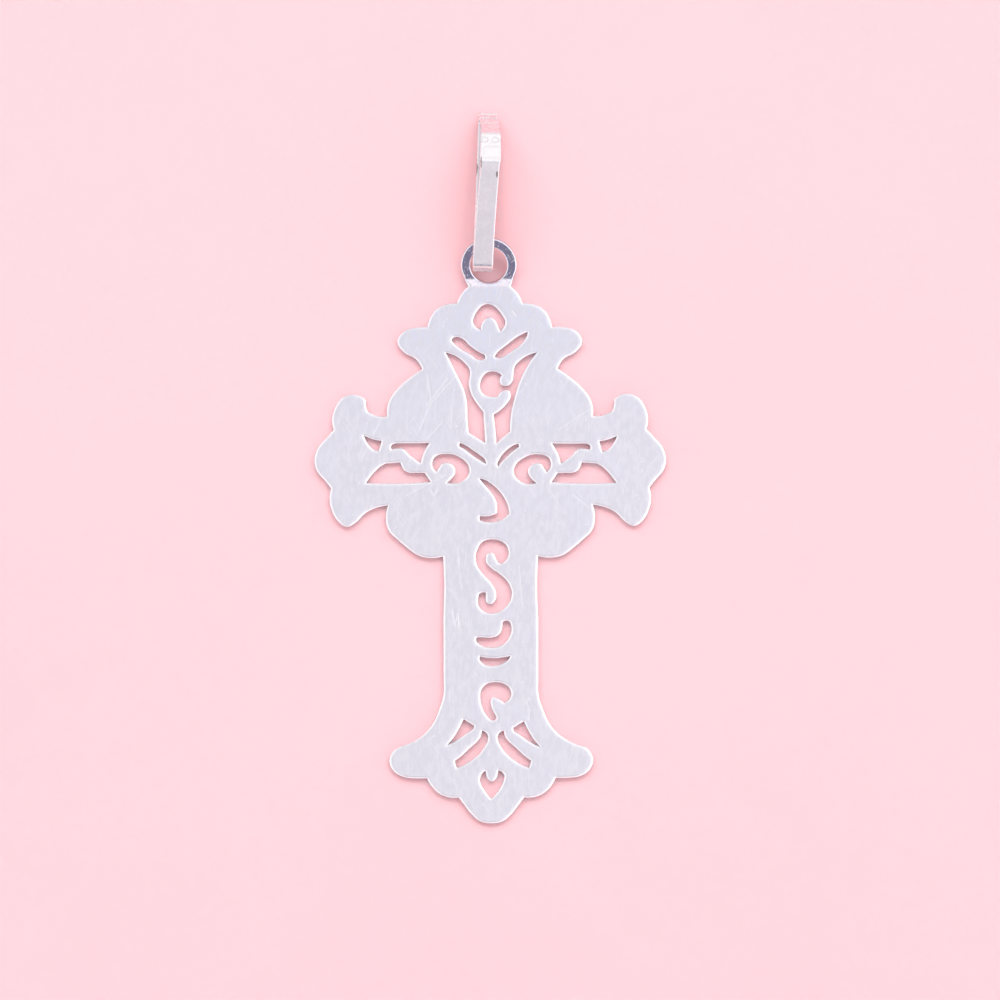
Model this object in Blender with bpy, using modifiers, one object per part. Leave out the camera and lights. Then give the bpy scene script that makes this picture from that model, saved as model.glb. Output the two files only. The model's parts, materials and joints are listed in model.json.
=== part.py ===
"""Pendant cross: a pierced sheet silver cross with a ring, and a strap bail that swings on the ring.

The cross lies face up. +X runs along the arms, +Y from the foot to the bail and +Z out of the face.
Sizes are millimetres here and metres in the scene.
"""

import math

import bmesh
import bpy
from mathutils import Vector

MM = 0.001

# Cross: overall sizes
ARM_SPAN = 31.6  # tip to tip across the arms
BODY_LENGTH = 48.25  # bottom tip to the neck under the ring
SHEET = 0.5  # thickness of the sheet
OPENING_RIM = 0.02  # the openings are drawn round their worn rims, and their walls stand in by this

# Ring, sawn in one with the sheet and bent up at a fold line above the neck
RING_RADIUS = 2.47
BORE_RADIUS = 1.68
RING_RISE = 2.05  # neck to the ring's centre
RING_SHOULDER = math.radians(28)  # the ring's edge leaves its circle this far below its middle
RING_SET_OFF = 0.07  # the ring stands this far left of the middle
FOLD_ABOVE_NECK = 0.3

# Bail: a flat strap bent into a closed loop
BAIL_LENGTH = 14.55
BAIL_DEPTH = 4.5  # outer depth at the crease, where the loop is deepest
TOE_DROP = 0.782  # ring's centre to the loop's lower end
TOE_BULGE = 0.55  # the rounded lower end stands out past the legs by this
TOE_BULGE_LEVEL = 0.45  # and bulges most at this share of its depth
TOE_WIDTH = 1.85
STRAP_WIDTH = 1.65  # at the top of the loop
STRAP_THICKNESS = 0.5
STAMP_LENGTH = 2.9  # flat facet for the maker's stamps, below the top facet
STAMP_SLOPE = math.radians(22)
TOP_FACET_REACH = 2.05  # the top facet falls away over this much of the bail's length
TOP_HEIGHT = 0.8  # and ends this far above the back leg's underside
TOP_BULGE = 0.35
BAIL_LEAN = math.radians(1.1)
BAIL_SKEW = 0.8  # the loop is twisted: its front stands this far right of its back at the top

# Outer bends of the loop, from the back of the toe round the front to the back of the top
TOE_BACK_BEND = 0.45
TOE_END_BEND = 0.8
TOE_FRONT_BEND = 0.4
CREASE_BEND = 0.35
TOP_EDGE_BEND = 0.35
TOP_BEND = 0.4
TOP_BACK_BEND = 0.35
BEND_STEPS = 5

# Room between the bail and the ring it swings on
SWING_CLEARANCE = 0.1  # round the bar, at any angle
BAR_PLAY = 0.06  # spare depth in the loop at the bar
SIDE_CLEARANCE = 0.05  # from the loop's lower end to the left side of the bore

# The outlines below are drawn for a cross of this size, about the middle of the arms
DRAWN_SPAN = 31.6
DRAWN_NECK = 15.5
DRAWN_TIP = -32.75
DRAWN_NECK_HALF_WIDTH = 1.9

# Each outline is a chain of stretches. A stretch starts at a corner, runs smoothly through its
# other points, and ends at the corner where the next stretch starts.
LEFT_EDGE = (
    ((-1.9, 15.5), (-2.5, 14.9)),
    ((-2.95, 14.0), (-3.9, 13.9), (-4.8, 13.45), (-5.35, 12.7)),
    ((-5.6, 11.85), (-6.6, 11.85), (-7.7, 11.5), (-8.3, 10.55), (-7.7, 9.6), (-6.65, 9.0)),
    ((-6.1, 8.1), (-7.3, 7.25), (-8.45, 6.2), (-9.1, 5.2)),
    ((-9.25, 3.85), (-10.1, 3.9)),
    ((-11.0, 4.3), (-11.15, 4.8)),
    ((-11.15, 5.3), (-12.25, 5.85), (-13.3, 5.5), (-13.95, 4.6), (-14.2, 3.6)),
    ((-14.05, 2.65), (-14.75, 1.9), (-15.5, 1.0), (-15.8, 0.0), (-15.6, -1.0), (-14.95, -1.8)),
    ((-14.3, -2.6), (-14.45, -3.5), (-14.25, -4.6), (-13.7, -5.55), (-12.95, -6.05), (-12.05, -5.62),
     (-11.3, -4.87), (-10.45, -4.42)),
    ((-9.2, -4.15), (-9.4, -5.3), (-9.12, -6.45), (-8.32, -7.25), (-7.5, -7.95), (-6.5, -8.65),
     (-5.5, -8.88)),
    ((-4.27, -8.74), (-4.22, -9.6)),
    ((-4.25, -14.0), (-4.25, -18.0)),
    ((-4.25, -20.0), (-4.32, -21.45), (-4.7, -22.6), (-5.1, -23.55), (-5.75, -24.45), (-6.6, -25.15),
     (-7.6, -25.65), (-8.65, -26.1), (-9.15, -27.05), (-8.75, -28.05), (-7.9, -28.55),
     (-6.9, -28.68)),
    ((-5.78, -28.68), (-5.3, -29.5), (-4.75, -30.02), (-4.0, -30.37)),
    ((-2.95, -30.42), (-2.4, -31.15), (-1.8, -31.92), (-1.0, -32.57), (0.0, -32.75)),
)

# Openings that stand alone on or near the middle line
ARCH = (
    ((-0.78, 11.62), (-1.3, 11.87), (-1.52, 12.3), (-1.4, 12.85), (-1.05, 13.45), (-0.65, 13.82),
     (-0.2, 13.95), (0.3, 13.82), (0.8, 13.4), (1.15, 12.92), (1.42, 12.35), (1.32, 11.88)),
    ((0.9, 11.46), (0.68, 12.05), (0.4, 12.52), (-0.04, 12.72), (-0.45, 12.5)),
)
EYE = (
    ((0.55, 1.35), (0.45, 2.7)),
    ((0.3, 4.0), (0.9, 4.4), (1.5, 5.0), (1.85, 5.7)),
    ((1.75, 6.1), (1.35, 6.15), (1.0, 6.0)),
    ((0.75, 5.6), (0.05, 5.6), (-0.5, 5.75), (-0.85, 6.2), (-0.9, 6.8), (-0.65, 7.45), (-0.2, 7.82),
     (0.3, 7.9), (0.8, 7.75)),
    ((1.1, 7.5), (0.9, 7.1)),
    ((1.0, 6.7), (1.55, 6.6), (2.0, 7.0), (2.1, 7.6), (2.2, 8.25), (2.95, 9.05)),
    ((4.3, 9.58), (3.5, 8.5), (2.97, 7.55), (2.57, 6.6), (2.27, 5.6), (2.0, 4.55), (1.85, 3.5)),
    ((1.8, 2.45), (1.2, 1.95)),
)
LONG_LEFT = (
    ((-4.0, 9.6), (-3.0, 9.25), (-2.25, 8.65), (-1.83, 8.1), (-1.77, 7.6), (-1.87, 7.0),
     (-1.82, 6.35), (-1.55, 5.6), (-1.1, 4.9)),
    ((-0.6, 4.25), (-0.5, 2.8)),
    ((-0.42, 1.4), (-1.2, 1.88)),
    ((-1.95, 2.35), (-2.05, 3.8), (-2.1, 5.1), (-2.35, 6.2), (-2.85, 7.3), (-3.4, 8.4)),
)
CRESCENT = (
    ((-1.02, -1.74), (-0.5, -1.86), (0.15, -2.26), (0.75, -2.8), (1.2, -3.4), (1.55, -4.1)),
    ((1.7, -4.92), (1.28, -5.33), (0.72, -5.6), (0.1, -5.71), (-0.45, -5.67)),
    ((-0.97, -5.52), (-1.0, -5.3)),
    ((-0.97, -5.12), (-0.4, -5.14), (0.1, -5.06)),
    ((0.56, -4.87), (0.6, -4.35), (0.46, -3.7), (0.1, -3.07), (-0.45, -2.45)),
)
S_CURL = (
    ((1.2, -9.33), (1.57, -8.85), (1.63, -8.25), (1.36, -7.66), (0.75, -7.3), (0.0, -7.2),
     (-0.72, -7.42), (-1.15, -8.0), (-1.36, -8.75), (-1.22, -9.6), (-0.66, -10.4), (0.02, -11.15),
     (0.47, -12.05), (0.36, -12.75), (-0.05, -13.02)),
    ((-0.42, -12.75), (-0.42, -12.35)),
    ((-0.42, -12.02), (-0.8, -11.98)),
    ((-1.06, -12.15), (-1.18, -12.7), (-1.0, -13.4), (-0.2, -13.88), (0.8, -13.75), (1.6, -13.08),
     (1.92, -12.2), (1.62, -11.15), (0.9, -10.38), (0.05, -9.78), (-0.4, -9.2)),
    ((-0.37, -8.7), (-0.05, -8.46)),
    ((0.32, -8.6), (0.44, -8.9)),
    ((0.62, -9.24), (0.88, -9.44)),
)
COMMA = (
    ((1.03, -14.68), (1.35, -14.52)),
    ((1.75, -14.68), (1.89, -15.3), (1.72, -15.97), (1.2, -16.66), (0.5, -16.94), (-0.2, -16.97),
     (-0.85, -16.82)),
    ((-1.27, -16.5), (-1.35, -16.25)),
    ((-1.29, -16.02), (-0.7, -16.02), (-0.1, -16.05), (0.42, -15.95), (0.82, -15.65),
     (1.0, -15.2)),
)
DISH = (
    ((-1.0, -17.74), (-0.4, -17.84), (0.4, -17.89), (1.1, -17.82)),
    ((1.78, -17.7), (1.58, -18.08), (1.1, -18.42), (0.45, -18.6), (-0.2, -18.62), (-0.72, -18.43)),
    ((-1.0, -18.1), (-1.05, -17.92)),
)
HOOK = (
    ((1.17, -21.95), (1.62, -21.68), (1.84, -21.15), (1.67, -20.58), (1.1, -20.17), (0.3, -20.04),
     (-0.42, -20.22), (-0.87, -20.7), (-0.99, -21.4), (-0.85, -22.25), (-0.48, -23.0)),
    ((-0.12, -23.42), (0.18, -23.53)),
    ((0.52, -23.28), (0.28, -22.78), (0.03, -22.2), (-0.01, -21.75)),
    ((0.2, -21.4), (0.68, -21.62)),
)
LANCET = (
    ((-0.03, -30.6), (-0.5, -30.0), (-0.88, -29.4), (-1.04, -28.88), (-0.96, -28.48),
     (-0.78, -28.2)),
    ((-0.5, -27.98), (-0.44, -28.38), (-0.27, -28.8), (0.02, -28.98), (0.33, -28.8),
     (0.53, -28.4)),
    ((0.62, -27.96), (0.95, -28.12)),
    ((1.2, -28.42), (1.16, -28.85), (0.97, -29.35), (0.58, -29.98)),
)

# Pairs of openings too unlike each other to be mirror images
LEFT_SLOT = (
    ((-3.47, 10.62), (-3.35, 10.9), (-2.98, 11.0), (-2.5, 10.86), (-2.0, 10.42), (-1.4, 9.9),
     (-0.88, 9.58)),
    ((-0.5, 9.4), (-0.42, 9.24)),
    ((-0.38, 9.06), (-0.75, 8.88), (-1.15, 8.95), (-1.8, 9.4), (-2.6, 9.86), (-3.12, 10.27)),
)
RIGHT_SLOT = (
    ((3.42, 11.45), (3.0, 11.27), (2.5, 11.02), (1.9, 10.58), (1.2, 10.03), (0.72, 9.65)),
    ((0.42, 9.2), (0.85, 9.05), (1.28, 9.2), (1.9, 9.6), (2.5, 10.0), (3.03, 10.48),
     (3.35, 11.0)),
)
LEFT_DART = (
    ((-2.74, 1.46), (-2.3, 1.3), (-1.6, 0.84), (-0.9, 0.35), (-0.5, 0.0)),
    ((-0.36, -0.48), (-0.9, -0.17), (-1.6, 0.3), (-2.3, 0.84)),
    ((-2.77, 1.12), (-2.8, 1.3)),
)
RIGHT_DART = (
    ((2.52, 1.38), (2.15, 1.26), (1.6, 0.92), (1.12, 0.46), (0.8, -0.02), (0.63, -0.5)),
    ((0.71, -0.76), (0.97, -0.36), (1.4, 0.07), (2.0, 0.62)),
    ((2.58, 1.05), (2.6, 1.22)),
)

# Openings in the left half, each with where its twin in the right half lies off the mirror image
CORNER_LEAF = (
    ((-11.38, 2.18), (-10.95, 1.97), (-10.4, 1.79)),
    ((-9.74, 1.68), (-9.86, 1.2)),
    ((-10.03, 0.68), (-10.5, 0.86), (-10.93, 1.28), (-11.2, 1.7)),
)
UPPER_WING = (
    ((-8.35, 1.46), (-7.0, 1.46)),
    ((-5.42, 1.48), (-5.73, 1.0), (-6.0, 0.45)),
    ((-6.22, -0.38), (-6.55, -0.2)),
    ((-6.85, 0.06), (-7.2, 0.3), (-7.52, 0.64), (-7.83, 0.9), (-8.3, 0.95)),
    ((-8.82, 0.87), (-8.95, 1.05), (-8.87, 1.28), (-8.65, 1.41)),
)
LOWER_WING = (
    ((-8.06, -0.26), (-7.94, -0.62), (-7.74, -0.95), (-7.4, -1.15)),
    ((-7.0, -1.2), (-6.4, -1.2)),
    ((-5.88, -1.22), (-5.6, -1.64)),
    ((-5.32, -2.07), (-8.3, -2.19)),
    ((-11.22, -2.15), (-10.82, -1.58), (-10.37, -1.06), (-9.85, -0.6)),
    ((-9.4, -0.36), (-8.7, -0.31)),
)
SCROLL = (
    ((-4.82, -1.17), (-5.15, -0.8), (-5.23, -0.35), (-5.08, 0.1), (-4.66, 0.4), (-4.0, 0.5),
     (-3.3, 0.42), (-2.65, 0.12), (-2.1, -0.34), (-1.85, -0.95), (-2.02, -1.58), (-2.5, -2.0),
     (-3.15, -2.2)),
    ((-3.95, -2.13), (-3.5, -1.74), (-3.2, -1.3), (-3.2, -0.85), (-3.52, -0.48), (-4.0, -0.34),
     (-4.35, -0.46), (-4.57, -0.78)),
)
UPPER_PETAL = (
    ((-2.5, -23.36), (-2.0, -23.66)),
    ((-1.5, -23.98), (-1.54, -24.14)),
    ((-1.58, -24.3), (-2.2, -24.7), (-2.85, -25.17), (-3.4, -25.5)),
    ((-3.98, -25.72), (-3.4, -25.02), (-3.0, -24.38)),
)
LOWER_PETAL = (
    ((-0.87, -24.42), (-0.5, -24.55), (-0.28, -24.87), (-0.28, -25.27), (-0.55, -25.85),
     (-1.0, -26.48), (-1.6, -27.02), (-2.3, -27.47)),
    ((-3.1, -27.82), (-3.22, -27.5)),
    ((-3.3, -27.13), (-2.6, -26.6), (-1.9, -25.93), (-1.3, -25.4), (-0.98, -24.98)),
)
TWINNED = (
    (CORNER_LEAF, (0.05, -0.1)),
    (UPPER_WING, (0.1, -0.08)),
    (LOWER_WING, (0.15, -0.05)),
    (SCROLL, (0.25, -0.07)),
    (UPPER_PETAL, (0.45, -0.2)),
    (LOWER_PETAL, (0.3, 0.0)),
)
SINGLE = (
    ARCH,
    EYE,
    LONG_LEFT,
    CRESCENT,
    S_CURL,
    COMMA,
    DISH,
    HOOK,
    LANCET,
    LEFT_SLOT,
    RIGHT_SLOT,
    LEFT_DART,
    RIGHT_DART,
)

CURVE_STEPS = 3  # straight steps between two points of an outline
SHARPEST_MITRE = 4  # how far a drawn-in corner may run, times the margin
RING_POINTS = 12
BORE_POINTS = 12
WELD = 0.01  # points nearer than this are one point
CUT_TOLERANCE = 0.001

# Places worked out from the sizes above, from the middle of the arms
WIDTH_SCALE = ARM_SPAN / DRAWN_SPAN
LENGTH_SCALE = BODY_LENGTH / (DRAWN_NECK - DRAWN_TIP)
NECK_Y = DRAWN_NECK * LENGTH_SCALE
TIP_Y = DRAWN_TIP * LENGTH_SCALE
NECK_HALF_WIDTH = DRAWN_NECK_HALF_WIDTH * WIDTH_SCALE
RING_Y = NECK_Y + RING_RISE
FOLD_Y = NECK_Y + FOLD_ABOVE_NECK


def scaled(point):
    """A drawn point at the cross's real size."""
    return (point[0] * WIDTH_SCALE, point[1] * LENGTH_SCALE)


def twin(outline, shift):
    """The mirror image of an outline across the middle line, moved by shift."""
    return tuple(tuple((shift[0] - x, y + shift[1]) for x, y in stretch) for stretch in outline)


def join_stretches(outline):
    """Each stretch with its end corner added, which is where the next stretch starts."""
    return [list(stretch) + [outline[(i + 1) % len(outline)][0]] for i, stretch in enumerate(outline)]


def body_stretches():
    """The cross's whole edge, from the neck's left side round the foot to its right side."""
    left = [list(stretch) + [LEFT_EDGE[i + 1][0]] for i, stretch in enumerate(LEFT_EDGE[:-1])]
    foot = list(LEFT_EDGE[-1])
    foot += [(-x, y) for x, y in reversed(foot[:-1])]
    right = [[(-x, y) for x, y in reversed(stretch)] for stretch in reversed(left)]
    return [[scaled(p) for p in stretch] for stretch in left + [foot] + right]


def arc_points(centre, radius, start, end, count):
    """Points along an arc, both ends included."""
    turns = [start + (end - start) * i / count for i in range(count + 1)]
    return [(centre[0] + radius * math.cos(t), centre[1] + radius * math.sin(t)) for t in turns]


def circle_tangent(before, at, after):
    """Direction at the middle one of three points, along the circle through them."""
    back = at - before
    ahead = after - at
    return (back / back.length_squared + ahead / ahead.length_squared).normalized()


def stretch_tangents(points):
    """Direction of travel at each point of a smooth stretch."""
    if len(points) == 2:
        along = (points[1] - points[0]).normalized()
        return [along, along]
    inner = [circle_tangent(*points[i : i + 3]) for i in range(len(points) - 2)]
    first = inner[0].reflect((points[1] - points[0]).orthogonal().normalized())
    last = inner[-1].reflect((points[-1] - points[-2]).orthogonal().normalized())
    return [first] + inner + [last]


def handle_length(chord, tangent):
    """Length of the Bezier handle that makes an arc over the chord."""
    lean = tangent.angle(chord)
    return chord.length / (3 * math.cos(lean / 2) ** 2)


def sideways(direction):
    """The direction a quarter turn to the left."""
    return Vector((-direction.y, direction.x))


def drawn_in(stretches, margin):
    """A closed chain of stretches with every point moved margin towards the inside."""
    chains = [[Vector(p) for p in stretch] for stretch in stretches]
    loop = [p for chain in chains for p in chain[:-1]]
    area = sum(loop[i - 1].cross(p) for i, p in enumerate(loop))
    inwards = math.copysign(margin, area)
    sides = [[sideways(t) for t in stretch_tangents(chain)] for chain in chains]
    corners = []
    for i, chain in enumerate(chains):
        both = sides[i - 1][-1] + sides[i][0]
        mitre = both * min(2 / both.length_squared, SHARPEST_MITRE)
        corners.append(chain[0] + mitre * inwards)
    moved = []
    for i, chain in enumerate(chains):
        middle = [p + side * inwards for p, side in zip(chain[1:-1], sides[i][1:-1])]
        moved.append([corners[i]] + middle + [corners[(i + 1) % len(corners)]])
    return moved


def add_outline(curve, stretches):
    """Add one closed Bezier spline that runs through the stretches, with a corner between each two."""
    knots = []
    for stretch in stretches:
        points = [Vector(p) for p in stretch]
        tangents = stretch_tangents(points)
        for i in range(len(points) - 1):
            chord = points[i + 1] - points[i]
            out_handle = points[i] + tangents[i] * handle_length(chord, tangents[i])
            in_handle = points[i + 1] - tangents[i + 1] * handle_length(chord, tangents[i + 1])
            knots.append((points[i], out_handle, in_handle))
    spline = curve.splines.new("BEZIER")
    spline.bezier_points.add(len(knots) - 1)
    spline.use_cyclic_u = True
    for i, knot in enumerate(spline.bezier_points):
        knot.handle_left_type = "FREE"
        knot.handle_right_type = "FREE"
        knot.co = (knots[i][0] * MM).to_3d()
        knot.handle_right = (knots[i][1] * MM).to_3d()
        knot.handle_left = (knots[i - 1][2] * MM).to_3d()


def ring_edge():
    """The ring's outer arc, from the neck's right side over the top to its left side."""
    centre = (-RING_SET_OFF, RING_Y)
    arc = arc_points(centre, RING_RADIUS, -RING_SHOULDER, math.pi + RING_SHOULDER, RING_POINTS)
    return [(NECK_HALF_WIDTH, NECK_Y)] + arc + [(-NECK_HALF_WIDTH, NECK_Y)]


def mesh_from_curve(curve_object, name):
    """A closed mesh object made from a curve object, which is removed."""
    bpy.context.view_layer.update()
    evaluated = curve_object.evaluated_get(bpy.context.evaluated_depsgraph_get())
    mesh = bpy.data.meshes.new_from_object(evaluated)
    mesh.name = name
    work = bmesh.new()
    work.from_mesh(mesh)
    bmesh.ops.remove_doubles(work, verts=work.verts, dist=WELD * MM)
    work.to_mesh(mesh)
    work.free()
    mesh_object = bpy.data.objects.new(name, mesh)
    mesh_object.matrix_world = curve_object.matrix_world
    bpy.data.objects.remove(curve_object)
    return mesh_object


def bail_slide():
    """How far the bail hangs left of the ring's middle, its lower end just clear of the bore's side."""
    half_bore = math.sqrt(BORE_RADIUS**2 - TOE_DROP**2)
    lean = (RING_RADIUS + TOE_DROP) * math.sin(BAIL_LEAN)
    return half_bore - SIDE_CLEARANCE - lean - TOE_WIDTH / 2


def bar_span():
    """Lowest and highest reach of the ring's bar, from the ring's centre, across the strap's width."""
    widest = bail_slide() + TOE_WIDTH / 2
    return math.sqrt(BORE_RADIUS**2 - widest**2), RING_RADIUS


def bar_centre():
    """Y of the bar's middle before the fold, and the room it needs round that middle to swing."""
    low, high = bar_span()
    half_diagonal = math.hypot((high - low) / 2, SHEET / 2)
    return RING_Y + (low + high) / 2, half_diagonal + SWING_CLEARANCE


def toe_reach():
    """Distance from the bar's middle down to the loop's lower end."""
    return bar_centre()[0] - RING_Y + TOE_DROP


def ring_tilt():
    """Angle of the fold that lifts the bar just clear of the strap beneath it."""
    bar_y, room = bar_centre()
    lift = STRAP_THICKNESS + room - SHEET / 2
    return math.asin(lift / (bar_y - FOLD_Y))


def folded(y, z):
    """Where a point of the flat sheet lies once the ring is bent up."""
    if y <= FOLD_Y:
        return y, z
    tilt = ring_tilt()
    along = y - FOLD_Y
    above = z - SHEET / 2
    return (
        FOLD_Y + along * math.cos(tilt) - above * math.sin(tilt),
        SHEET / 2 + along * math.sin(tilt) + above * math.cos(tilt),
    )


def fold_ring(mesh):
    """Bend the ring up along the fold line."""
    work = bmesh.new()
    work.from_mesh(mesh)
    geometry = work.verts[:] + work.edges[:] + work.faces[:]
    bmesh.ops.bisect_plane(
        work,
        geom=geometry,
        dist=CUT_TOLERANCE * MM,
        plane_co=(0, FOLD_Y * MM, 0),
        plane_no=(0, 1, 0),
    )
    for vertex in work.verts:
        y, z = folded(vertex.co.y / MM, vertex.co.z / MM)
        vertex.co.y = y * MM
        vertex.co.z = z * MM
    work.to_mesh(mesh)
    work.free()


def make_cross_plate():
    """The pierced cross with its ring, flat on the ground apart from the bent-up ring."""
    curve = bpy.data.curves.new("cross_plate", "CURVE")
    curve.dimensions = "2D"
    curve.fill_mode = "BOTH"
    curve.extrude = SHEET * MM / 2
    curve.resolution_u = CURVE_STEPS
    add_outline(curve, body_stretches() + [ring_edge()])
    bore = arc_points((-RING_SET_OFF, RING_Y), BORE_RADIUS, 0, math.tau, BORE_POINTS)
    add_outline(curve, [bore])
    openings = list(SINGLE)
    for outline, shift in TWINNED:
        openings += [outline, twin(outline, shift)]
    for outline in openings:
        chains = [[scaled(p) for p in stretch] for stretch in join_stretches(outline)]
        add_outline(curve, drawn_in(chains, OPENING_RIM))
    flat = bpy.data.objects.new("cross_plate_outline", curve)
    bpy.context.scene.collection.objects.link(flat)
    plate = mesh_from_curve(flat, "cross_plate")
    for vertex in plate.data.vertices:
        vertex.co.z += SHEET * MM / 2
    fold_ring(plate.data)
    return plate


def bail_corners():
    """Corners of the loop's outer side view, as (y, z, rounding radius) from the bar's centre.

    The back leg lies flat. The front leg rises from the toe to the crease and just clears the bar.
    """
    bar_z = STRAP_THICKNESS + bar_centre()[1]
    bottom = -toe_reach()
    top = bottom + BAIL_LENGTH
    top_edge = top - TOP_FACET_REACH
    crease = top_edge - STAMP_LENGTH * math.cos(STAMP_SLOPE)
    bar_depth = 2 * bar_z + BAR_PLAY
    rise = (BAIL_DEPTH - bar_depth) / crease
    toe = bottom + TOE_BULGE
    toe_depth = bar_depth + rise * toe
    corners = (
        (toe, 0.0, TOE_BACK_BEND),
        (bottom, toe_depth * TOE_BULGE_LEVEL, TOE_END_BEND),
        (toe, toe_depth, TOE_FRONT_BEND),
        (crease, BAIL_DEPTH, CREASE_BEND),
        (top_edge, BAIL_DEPTH - STAMP_LENGTH * math.sin(STAMP_SLOPE), TOP_EDGE_BEND),
        (top, TOP_HEIGHT, TOP_BEND),
        (top - TOP_BULGE, 0.0, TOP_BACK_BEND),
    )
    return [(y, z - bar_z, radius) for y, z, radius in corners]


def rounded_path(corners):
    """Points along a closed chain of lines whose corners are rounded by arcs."""
    path = []
    for i, (y, z, radius) in enumerate(corners):
        at = Vector((y, z))
        back = (Vector(corners[i - 1][:2]) - at).normalized()
        ahead = (Vector(corners[(i + 1) % len(corners)][:2]) - at).normalized()
        half = back.angle(ahead) / 2
        centre = at + (back + ahead).normalized() * (radius / math.sin(half))
        first = at + back * (radius / math.tan(half)) - centre
        last = at + ahead * (radius / math.tan(half)) - centre
        turn = first.angle_signed(last)
        for step in range(BEND_STEPS + 1):
            angle = -turn * step / BEND_STEPS
            spoke = Vector(
                (
                    first.x * math.cos(angle) - first.y * math.sin(angle),
                    first.x * math.sin(angle) + first.y * math.cos(angle),
                )
            )
            path.append(centre + spoke)
    return path


def make_bail():
    """The strap loop, its origin on the bar of the ring."""
    path = rounded_path(bail_corners())
    mesh = bpy.data.meshes.new("bail")
    work = bmesh.new()
    rows = []
    for point in path:
        rows.append([work.verts.new((side * MM, point.x * MM, point.y * MM)) for side in (-0.5, 0.5)])
    for i, row in enumerate(rows):
        following = rows[(i + 1) % len(rows)]
        work.faces.new((row[0], row[1], following[1], following[0]))
    low = min(p.x for p in path)
    high = max(p.x for p in path)
    back = min(p.y for p in path)
    for vertex in work.verts:
        share = (vertex.co.y / MM - low) / (high - low)
        width = TOE_WIDTH + (STRAP_WIDTH - TOE_WIDTH) * share
        vertex.co.x *= width
        vertex.co.x += BAIL_SKEW * MM * share * (vertex.co.z / MM - back) / BAIL_DEPTH
    work.to_mesh(mesh)
    work.free()
    bail = bpy.data.objects.new("bail", mesh)
    wall = bail.modifiers.new("strap", "SOLIDIFY")
    wall.thickness = STRAP_THICKNESS * MM
    wall.offset = -1
    wall.use_even_offset = True
    return bail


def material(name, colour, roughness):
    """A metal with the given colour and roughness."""
    metal = bpy.data.materials.new(name)
    metal.use_nodes = True
    shader = metal.node_tree.nodes["Principled BSDF"]
    shader.inputs["Base Color"].default_value = (*colour, 1)
    shader.inputs["Metallic"].default_value = 1
    shader.inputs["Roughness"].default_value = roughness
    return metal


def main():
    """Clear the scene and build the cross and its bail."""
    for old in list(bpy.data.objects):
        bpy.data.objects.remove(old)
    pendant = bpy.data.collections.new("pendant_cross")
    bpy.context.scene.collection.children.link(pendant)

    pivot_y, pivot_z = folded(bar_centre()[0], SHEET / 2)
    top_y = pivot_y - toe_reach() + BAIL_LENGTH
    middle_y = (top_y + TIP_Y) / 2

    plate = make_cross_plate()
    plate.data.materials.append(material("satin_silver", (0.78, 0.77, 0.81), 0.35))
    plate.location.y = -middle_y * MM
    pendant.objects.link(plate)

    pivot = bpy.data.objects.new("bail_pivot", None)
    pivot.location = (0, (pivot_y - middle_y) * MM, pivot_z * MM)
    pendant.objects.link(pivot)

    bail = make_bail()
    bail.data.materials.append(material("polished_silver", (0.84, 0.82, 0.83), 0.2))
    bail.parent = pivot
    bail.location.x = -(RING_SET_OFF + bail_slide()) * MM
    bail.rotation_euler.z = -BAIL_LEAN
    pendant.objects.link(bail)


main()
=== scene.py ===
"""A pendant cross in pierced sheet silver, with a strap bail through its ring, on a sheet of pink paper.

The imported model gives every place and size. The sheet and the strap are made again here as fine meshes:
worn rims, scratches, the ridge at the neck, punch marks and file marks are in their surfaces. Sizes are
millimetres, and become metres where a mesh is made.
"""

import json
import logging
import math
from dataclasses import dataclass, field
from enum import Enum

import bmesh
import bpy
import numpy as np
from mathutils import Matrix, Vector, noise
from mathutils.geometry import delaunay_2d_cdt
from mathutils.kdtree import KDTree


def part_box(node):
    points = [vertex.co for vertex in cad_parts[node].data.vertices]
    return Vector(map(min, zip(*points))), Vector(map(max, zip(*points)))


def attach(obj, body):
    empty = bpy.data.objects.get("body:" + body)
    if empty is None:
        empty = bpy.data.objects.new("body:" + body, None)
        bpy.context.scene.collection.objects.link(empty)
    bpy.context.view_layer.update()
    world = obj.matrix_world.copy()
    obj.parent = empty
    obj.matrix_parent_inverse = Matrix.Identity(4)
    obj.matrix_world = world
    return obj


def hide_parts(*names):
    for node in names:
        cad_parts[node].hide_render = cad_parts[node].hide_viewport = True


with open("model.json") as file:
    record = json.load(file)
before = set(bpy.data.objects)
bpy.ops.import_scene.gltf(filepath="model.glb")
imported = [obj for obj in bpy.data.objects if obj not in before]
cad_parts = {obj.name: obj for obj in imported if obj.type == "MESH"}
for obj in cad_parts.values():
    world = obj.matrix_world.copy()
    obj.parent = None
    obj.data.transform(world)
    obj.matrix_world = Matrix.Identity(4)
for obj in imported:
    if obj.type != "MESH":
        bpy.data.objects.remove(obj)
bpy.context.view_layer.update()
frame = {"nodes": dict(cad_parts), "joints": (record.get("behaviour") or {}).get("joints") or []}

MM = 0.001
LONG_RUN = 4.0  # a stretch this many times longer than the one beside it is straight
TINY = 1e-12  # keeps a division from meeting zero
WELD = 0.002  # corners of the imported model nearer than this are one
DOUBLE = 0.02  # points of an edge nearer than this are one
SAME_LEVEL = 0.005  # heights nearer than this are the same
LEVEL, LEANING, STEEP = 0.999, 0.7, 0.5  # how far a normal is along an axis, from fully to hardly
LOG = logging.getLogger("pendant_cross")
Pair = tuple[float, float]
Triple = tuple[float, float, float]
Colour = tuple[float, float, float, float]
Socket = bpy.types.NodeSocket


class Side(Enum):
    """The two sides of the sheet, by the sign of their outward normal."""

    TOP = 1
    BOTTOM = -1


# ---------------- plane curves


def unit(vectors: np.ndarray) -> np.ndarray:
    """Each row at length one."""
    return vectors / np.maximum(np.linalg.norm(vectors, axis=-1, keepdims=True), TINY)


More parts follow.
